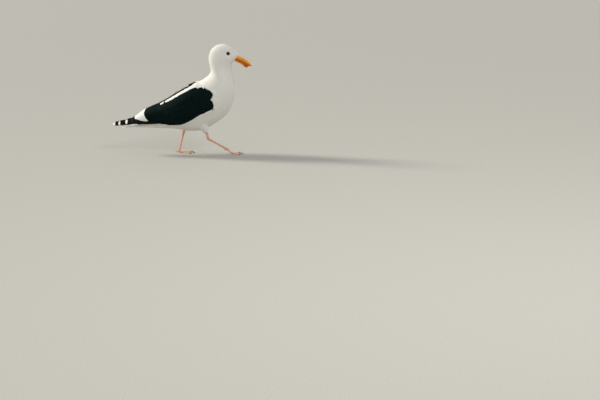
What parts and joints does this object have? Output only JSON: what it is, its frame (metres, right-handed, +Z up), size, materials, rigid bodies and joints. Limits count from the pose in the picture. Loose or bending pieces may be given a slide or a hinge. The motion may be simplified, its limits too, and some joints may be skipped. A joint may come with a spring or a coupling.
{
  "type": "western gull model",
  "caption": "Life-size still model of an adult western gull walking, slate wings folded, neck upright, bill a little down; stands on its webbed feet.",
  "frame": {"origin": "on the floor, under the middle of the bird's overall length and width", "axes": "+X the way the bird faces and walks, +Y its left, +Z up; the floor under its feet is z = 0"},
  "size_m": [0.4544, 0.1288, 0.3564],
  "materials": {
    "white_plumage": "soft white feathers, matte",
    "slate_plumage": "dark slate feathers with a low sheen",
    "black_plumage": "black flight feathers with a low sheen",
    "bill_horn": "satin orange-yellow horn",
    "leg_skin": "scaly pink skin, semi-matte",
    "claw_horn": "dark horn",
    "eye_cornea": "wet and glossy"
  },
  "bodies": {
    "root": {"head": "white_plumage", "neck": "white_plumage", "trunk": "white_plumage", "tail": "white_plumage", "mantle": "slate_plumage", "bill_upper": "bill_horn", "bill_lower": "bill_horn", "eye_right": "eye_cornea", "wing_right": "slate_plumage", "tertials_right": "white_plumage", "primaries_right": "black_plumage", "thigh_right": "white_plumage", "shank_right": "leg_skin", "foot_right": "leg_skin", "claw_left_right": "claw_horn", "claw_middle_right": "claw_horn", "claw_right_right": "claw_horn", "eye_left": "eye_cornea", "wing_left": "slate_plumage", "tertials_left": "white_plumage", "primaries_left": "black_plumage", "thigh_left": "white_plumage", "shank_left": "leg_skin", "foot_left": "leg_skin", "claw_left_left": "claw_horn", "claw_middle_left": "claw_horn", "claw_right_left": "claw_horn"}
  },
  "joints": []
}
